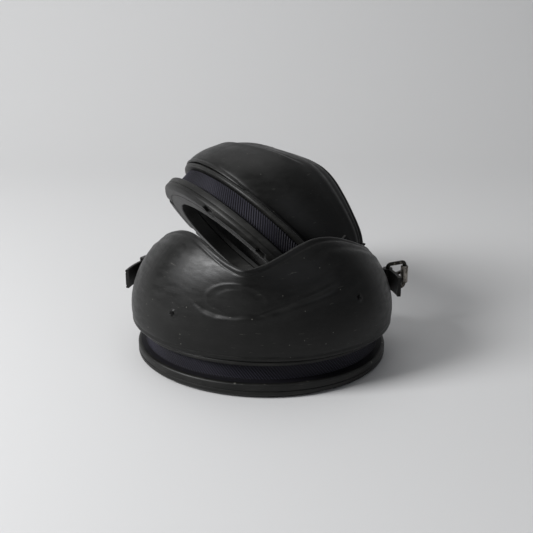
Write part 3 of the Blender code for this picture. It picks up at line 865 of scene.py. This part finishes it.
    def unevenness(self, points: Grid) -> Grid:
        """The soft waviness of thin rubber, from smooth noise at a coarse grid's points."""
        every = self.wave_every
        rows = range(0, points.shape[0], every)
        marks = range(0, points.shape[1], every)
        coarse = np.array([[noise.noise(Vector(points[i, j] / self.wave_size)) for j in marks]
                           for i in rows])
        i = np.clip(np.arange(points.shape[0]) / every, 0, len(rows) - 1)
        j = np.clip(np.arange(points.shape[1]) / every, 0, len(marks) - 1)
        i0, j0 = i.astype(int), j.astype(int)
        i1, j1 = np.minimum(i0 + 1, len(rows) - 1), np.minimum(j0 + 1, len(marks) - 1)
        fi, fj = (i - i0)[:, None], (j - j0)[None, :]
        fi, fj = fi * fi * (3 - 2 * fi), fj * fj * (3 - 2 * fj)
        low = coarse[np.ix_(i0, j0)] * (1 - fj) + coarse[np.ix_(i0, j1)] * fj
        high = coarse[np.ix_(i1, j0)] * (1 - fj) + coarse[np.ix_(i1, j1)] * fj
        return self.wave_height * (low * (1 - fi) + high * fi)

    def edge_roll(self, edge: Grid, normal: Grid, along: Grid, radius: float) -> Grid:
        """Points that turn from the outer face over an edge to the inner face.

        Args:
            edge: The outer face's last row of points.
            normal: Outward normals there.
            along: Unit directions that leave the sheet over the edge.
            radius: How far the roll stands past the edge.

        Returns:
            An array of columns by roll steps by three.
        """
        middle = edge - normal * self.wall / 2
        turns = np.linspace(0, math.pi, self.roll_steps + 2)[1:-1]
        return np.stack([middle + normal * (self.wall / 2) * math.cos(turn)
                         + along * radius * math.sin(turn) for turn in turns], axis=1)

    def flange(self, edge: Grid, angle: Grid) -> Grid:
        """The foot's turned edge, which lies over the clamp roll and shuts the gap beside it.

        Args:
            edge: The inner face's lowest points.
            angle: Plan angle of each column.

        Returns:
            An array of columns by four by three.
        """
        seat = plan_point(angle, self.seat_half_width, self.seat_toe_depth, self.seat_heel_depth, 0.0)
        points = []
        for share, height in ((0.06, 1.4), (1.0, 1.2), (1.0, 0.4), (0.04, 0.2)):
            point = edge + (seat - edge) * share
            point[:, 2] = self.bottom + height
            points.append(point)
        return np.stack(points, axis=1)

    def skirt(self) -> Object:
        """The whole skirt as one closed wall."""
        position = np.linspace(-1, 1, self.steps + 1)
        share = np.linspace(0, 1, self.levels + 1)
        points = self.sheet(position, share)
        normal = self.normals(points)
        keys = np.array(self.rim_keys)
        spot = np.abs(position) * (len(keys) - 1)
        angle = np.sign(position) * np.interp(spot, np.arange(len(keys)), keys[:, 0])
        outer = points + normal * self.relief(points, share, angle)[..., None]
        fade = np.minimum(1.0, 12 * share * (1 - share))[None, :, None]
        inner = points - normal * (self.wall + 0.2 * fade)
        up = points[:, -1] - points[:, -2]
        up /= np.linalg.norm(up, axis=-1, keepdims=True)
        down = points[:, 0] - points[:, 1]
        down /= np.linalg.norm(down, axis=-1, keepdims=True)
        top = self.edge_roll(outer[:, -1], normal[:, -1], up, self.wall / 2 + self.roll_extra)
        foot = self.edge_roll(outer[:, 0], normal[:, 0], down, self.foot_roll)[:, ::-1]
        half = self.roll_steps // 2
        flange = self.flange(inner[:, 0], angle)
        grid = np.concatenate([foot[:, half:], outer, top, inner[:, ::-1], flange], axis=1)
        return made("rubber_skirt", grid, self.pose, "skirt", Finish.SKIRT_RUBBER,
                    cap=Cap.STRIP)

    def lining(self) -> Object:
        """The foam-backed pad inside the lower skirt: crowned between its sewn channels."""
        reach = self.lining_angle / self.rim_keys[-1][0]
        position = np.linspace(-reach, reach, 241)
        share = np.linspace(self.lining_start, self.lining_reach, 25)
        points = self.sheet(position, share)
        inward = -points
        inward[..., 2] = 0.0
        inward /= np.linalg.norm(inward, axis=-1, keepdims=True)
        outer = points + inward * (self.wall + self.lining_gap)
        turn = math.pi * self.lining_channels * (position + reach) / (2 * reach)
        wave = np.abs(np.sin(turn))[:, None]
        rise = np.sin(math.pi * np.linspace(0, 1, len(share)))[None, :]
        puff = self.lining_thickness * (0.35 + 0.65 * wave ** 0.4 * rise ** 0.35)
        ends = np.minimum(1.0, (reach - np.abs(position)) / reach * 14)[:, None]
        puff = np.maximum(self.lining_least, puff * ends ** 0.5)
        inner = outer + inward * puff[..., None]
        grid = np.concatenate([outer, inner[:, ::-1]], axis=1)
        obj = lofted(f"{self.pose.name}_padded_lining", grid, self.pose, False, Cap.STRIP)
        return settle(obj, self.pose, "shell", "lining_pad", Finish.LINING)

    def build(self) -> None:
        """Builds the skirt and its lining."""
        self.skirt()
        self.lining()


# ---------------------------------------------------------------- strap and buckle


@dataclass
class Fastening:
    """The billet strap with its keeper on one side, and the chape with its roller buckle."""

    pose: BootPose
    half_width: float = 82.0
    toe_depth: float = 70.0
    heel_depth: float = 65.0
    run_out: float = 5.0
    strap_width: float = 12.6
    strap_thickness: float = 2.2
    strap_height: float = 40.0
    strap_round: float = 0.55
    line_depth: float = 0.35
    gap: float = 0.3
    billet: tuple[float, float] = (95.0, 138.0)
    tip_share: float = 0.2
    buckle_angle: float = 118.0
    keeper_angle: float = 113.0
    keeper_wall: float = 1.2
    keeper_length: float = 5.0
    keeper_gap: float = 0.45
    keeper_ease: float = 0.35
    buckle_size: tuple[float, float] = (13.0, 17.0)
    wire: float = 1.25
    corner: float = 2.2
    bar_clearance: float = 0.3
    roller_radius: float = 2.4
    roller_length: float = 11.6
    seam_depth: float = 0.12

    def run(self, angle: Grid, out: Grid | float, squeeze: float) -> Grid:
        """Points of the strap's run round the boot."""
        points = plan_point(angle, self.half_width, self.toe_depth, self.heel_depth, self.run_out + out)
        points[..., 0] *= 1.0 - squeeze * np.sin(np.radians(angle)) / self.half_width
        return points

    def wall_frame(self, angle: float, out: float, squeeze: float) -> Matrix:
        """A frame on the boot's side: X outward, Y to the heel, Z up."""
        near = self.run(np.array([angle - 1.0, angle, angle + 1.0]), out, squeeze)
        tangent = Vector(near[2] - near[0]).normalized()
        up = Vector((0, 0, 1))
        matrix = Matrix((tangent.cross(up), tangent, up)).transposed().to_4x4()
        matrix.translation = Vector(near[1]) + up * self.strap_height
        return matrix

    @staticmethod
    def in_frame(matrix: Matrix, grid: Grid) -> Grid:
        """Takes points from a local frame to the boot's frame."""
        return grid @ np.array(matrix.to_3x3()).T + np.array(matrix.translation)

    def billet_strap(self) -> Object:
        """The long free strap on the -X side: round edges, a line by each and a tapered tip."""
        start, end = self.billet
        share = np.linspace(0, 1, 121)
        angle = start + (end - start) * share
        half = self.strap_width / 2
        section = rounded_box_section(0.0, self.strap_thickness, -half, half, self.strap_round)
        edge, deep = self.strap_thickness, self.strap_thickness - self.line_depth
        line = [(edge, -half + 1.2), (deep, -half + 1.8), (edge, -half + 2.4)]
        mirrored = [(x, -z) for x, z in line[::-1]]
        # The first corner's points come before the face that the two lines run along.
        corner, rest = section[:5], section[5:]
        section = np.concatenate([corner, line, mirrored, rest])
        taper = np.clip((share - 1 + self.tip_share) / self.tip_share, 0, 1)
        width = np.maximum(0.3, np.sqrt(1 - taper ** 2))
        grown = np.repeat(angle[:, None], len(section), axis=1)
        grid = self.run(grown, self.gap + section[None, :, 0], 0.0)
        grid[..., 0] *= -1
        grid[..., 2] = self.strap_height + section[None, :, 1] * width[:, None]
        return made("billet", grid, self.pose, "billet_strap", Finish.STRAP_RUBBER)

    def keeper(self) -> Object:
        """The loop that slides on the billet, with soft corners."""
        matrix = self.wall_frame(self.keeper_angle, self.gap + self.strap_thickness / 2, 0.0)
        inner_x = self.strap_thickness / 2 + self.keeper_gap
        inner_z = self.strap_width / 2 + self.keeper_gap
        ease, half, wall = self.keeper_ease, self.keeper_length / 2, self.keeper_wall
        quarter = [(0.0, half - ease), (ease, half), (wall - ease, half), (wall, half - ease)]
        rows = []
        for grow, y in quarter + [(grow, -y) for grow, y in quarter[::-1]]:
            outline = rounded_box_section(-inner_x - grow, inner_x + grow, -inner_z - grow,
                                          inner_z + grow, ease + 0.6 * grow)
            rows.append(np.stack([outline[:, 0], np.full(len(outline), y), outline[:, 1]], axis=-1))
        grid = self.in_frame(matrix, np.stack(rows, axis=1))
        grid[..., 0] *= -1
        return made("keeper", grid, self.pose, "keeper_loop", Finish.STRAP_RUBBER,
                    "keeper", True, Cap.NONE)

    def buckle_matrix(self) -> Matrix:
        """The buckle's frame on the bar, swung as it hangs."""
        place = self.wall_frame(self.buckle_angle, self.strap_thickness / 2 + self.gap, self.pose.squeeze)
        return place @ Matrix.Rotation(math.radians(self.pose.frame_swing), 4, "Z")

    def buckle_frame(self) -> Object:
        """The frame of round wire, bent to a box with round corners."""
        depth, width = self.buckle_size
        outline = rounded_box_section(0.0, depth, -width / 2, width / 2, self.corner, 8)
        centre = np.array([depth / 2, 0.0])
        previous, following = np.roll(outline, 1, axis=0), np.roll(outline, -1, axis=0)
        tangent = following - previous
        tangent /= np.linalg.norm(tangent, axis=-1, keepdims=True)
        outward = np.stack([tangent[:, 1], -tangent[:, 0]], axis=-1)
        outward *= np.sign(((outline - centre) * outward).sum(axis=-1, keepdims=True))
        turns = np.linspace(0, math.tau, 17)[:-1]
        rows = [np.stack([outline[:, 0] + outward[:, 0] * self.wire * math.cos(turn),
                          np.full(len(outline), self.wire * math.sin(turn)),
                          outline[:, 1] + outward[:, 1] * self.wire * math.cos(turn)], axis=-1)
                for turn in turns]
        grid = self.in_frame(self.buckle_matrix(), np.stack(rows, axis=1))
        return made("wire_frame", grid, self.pose, "buckle_frame", Finish.STEEL, "buckle",
                    True, Cap.NONE)

    def roller(self) -> Object:
        """The rolled sheet tube on the outer bar, with turned-in ends and its lap seam."""
        bore = self.wire + self.bar_clearance
        half = self.roller_length / 2
        profile = [(bore, -half + 0.3), (bore + 0.25, -half), (self.roller_radius - 0.3, -half),
                   (self.roller_radius, -half + 0.4), (self.roller_radius, half - 0.4),
                   (self.roller_radius - 0.3, half), (bore + 0.25, half), (bore, half - 0.3)]
        rows = []
        for turn in np.linspace(0, math.tau, 49)[:-1]:
            seam = self.seam_depth * math.exp(-((turn - math.pi) / 0.09) ** 2)
            radii = [(r - seam if r > bore + 0.3 else r, z) for r, z in profile]
            rows.append([(r * math.cos(turn), r * math.sin(turn), z) for r, z in radii])
        grid = np.array(rows) + np.array([self.buckle_size[0], 0.0, 0.0])
        grid = self.in_frame(self.buckle_matrix(), grid)
        return made("roller_tube", grid, self.pose, "buckle_roller", Finish.WORN_STEEL,
                    "roller", True, Cap.NONE)

    def build(self) -> None:
        """Builds the fastening, and dresses the small CAD pieces that keep their shape."""
        for make in (self.billet_strap, self.keeper, self.buckle_frame, self.roller):
            make()
        kept = {"chape_strap": Finish.STRAP_RUBBER, "buckle_prong": Finish.STEEL,
                "chape_rivet": Finish.STEEL, "chape_washer": Finish.STEEL,
                "billet_rivet": Finish.STEEL, "billet_washer": Finish.STEEL}
        for piece, finish in kept.items():
            dress(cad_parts[self.pose.node(piece)], finish)
            LOG.info("%s: keeps its CAD shape", self.pose.node(piece))


# ---------------------------------------------------------------- studio


@dataclass
class Studio:
    """A pale seamless floor and wall, soft lights and the camera."""

    target_mm: tuple[float, float, float] = (-4.15, -34.8, 50.0)
    elevation: float = 21.0
    distance_mm: float = 620.0
    lens: float = 67.0
    shift: tuple[float, float] = (0.0103, 0.0156)
    floor_colour: str = "#c1c1c1"
    floor_half_mm: float = 1500.0
    wall_distance_mm: float = 900.0
    wall_radius_mm: float = 500.0
    wall_height_mm: float = 1800.0
    wall_steps: int = 16
    sky_colour: str = "#e9ebee"
    sky_strength: float = 0.22

    def camera(self) -> None:
        """Places the camera."""
        data = bpy.data.cameras.new("camera")
        data.lens = self.lens
        data.shift_x, data.shift_y = self.shift
        obj = bpy.data.objects.new("camera", data)
        bpy.context.scene.collection.objects.link(obj)
        tilt = math.radians(self.elevation)
        back = Vector((0.0, -math.cos(tilt), math.sin(tilt)))
        obj.location = (Vector(self.target_mm) + back * self.distance_mm) * MM
        obj.rotation_mode = "QUATERNION"
        obj.rotation_quaternion = (-back).to_track_quat("-Z", "Y")
        bpy.context.scene.camera = obj

    def floor(self) -> None:
        """A floor that curves up into a wall behind."""
        half = self.floor_half_mm
        radius = self.wall_radius_mm
        foot = self.wall_distance_mm - radius
        path = [(-half, 0.0), (foot, 0.0)]
        for step in range(1, self.wall_steps + 1):
            turn = math.radians(90 * step / self.wall_steps)
            path.append((foot + radius * math.sin(turn), radius * (1 - math.cos(turn))))
        path.append((self.wall_distance_mm, self.wall_height_mm))
        points = [(x * MM, y * MM, z * MM) for y, z in path for x in (-2 * half, 2 * half)]
        faces = [(2 * i, 2 * i + 1, 2 * i + 3, 2 * i + 2) for i in range(len(path) - 1)]
        mesh = bpy.data.meshes.new("floor")
        mesh.from_pydata(points, [], faces)
        mesh.shade_smooth()
        material, _, shader = new_material("studio_paper")
        shader.inputs["Base Color"].default_value = linear(self.floor_colour)
        shader.inputs["Roughness"].default_value = 0.9
        mesh.materials.append(material)
        obj = bpy.data.objects.new("floor", mesh)
        bpy.context.scene.collection.objects.link(obj)

    def light(self, name: str, place: Sequence[float], size: float, power: float,
              colour: str) -> None:
        """Adds one square soft light that faces the boots."""
        data = bpy.data.lights.new(name, "AREA")
        data.size = size
        data.energy = power
        data.color = linear(colour)[:3]
        obj = bpy.data.objects.new(name, data)
        obj.location = place
        aim = Vector(self.target_mm) * MM - Vector(place)
        obj.rotation_mode = "QUATERNION"
        obj.rotation_quaternion = aim.to_track_quat("-Z", "Y")
        bpy.context.scene.collection.objects.link(obj)

    def build(self) -> None:
        """Builds the studio."""
        self.camera()
        self.floor()
        self.light("key", (-1.0, -0.42, 0.80), 0.5, 20.0, "#ffffff")
        self.light("side", (-0.80, -0.34, 0.50), 0.32, 2.2, "#f7f9ff")
        self.light("fill", (0.9, -0.9, 0.9), 0.9, 1.6, "#f4f7ff")
        self.light("top", (-0.1, 0.45, 1.4), 1.2, 5.5, "#ffffff")
        world = bpy.data.worlds.new("studio")
        bpy.context.scene.world = world
        world.use_nodes = True
        background = world.node_tree.nodes["Background"]
        background.inputs["Color"].default_value = linear(self.sky_colour)
        background.inputs["Strength"].default_value = self.sky_strength
        bpy.context.scene.view_settings.view_transform = "Standard"


# ---------------------------------------------------------------- the pair


def poses() -> list[BootPose]:
    """The two boots' places, as the CAD has them."""
    shift = Matrix.Translation(Vector((-4.15, -34.8, 0.0)))
    front = shift @ standing((0.0, 0.0, 0.0), -8.0)
    stacked = shift @ leaning((-12.5, 40.0, 45.45), (0.660, 0.385, 0.640), (-0.70, -0.10, 0.71))
    return [BootPose("front", front, push=18.0, squeeze=0.0, droop=0.0, frame_swing=0.0, holed=True),
            BootPose("stacked", stacked, push=-8.0, squeeze=18.5, droop=2.5, frame_swing=95.0,
                     holed=False)]


def main() -> None:
    """Builds both boots and the studio."""
    logging.basicConfig(level=logging.INFO, format="%(name)s %(message)s")
    for pose in poses():
        Sole(pose).build()
        Skirt(pose).build()
        Fastening(pose).build()
    Studio().build()


if __name__ == "__main__":
    main()
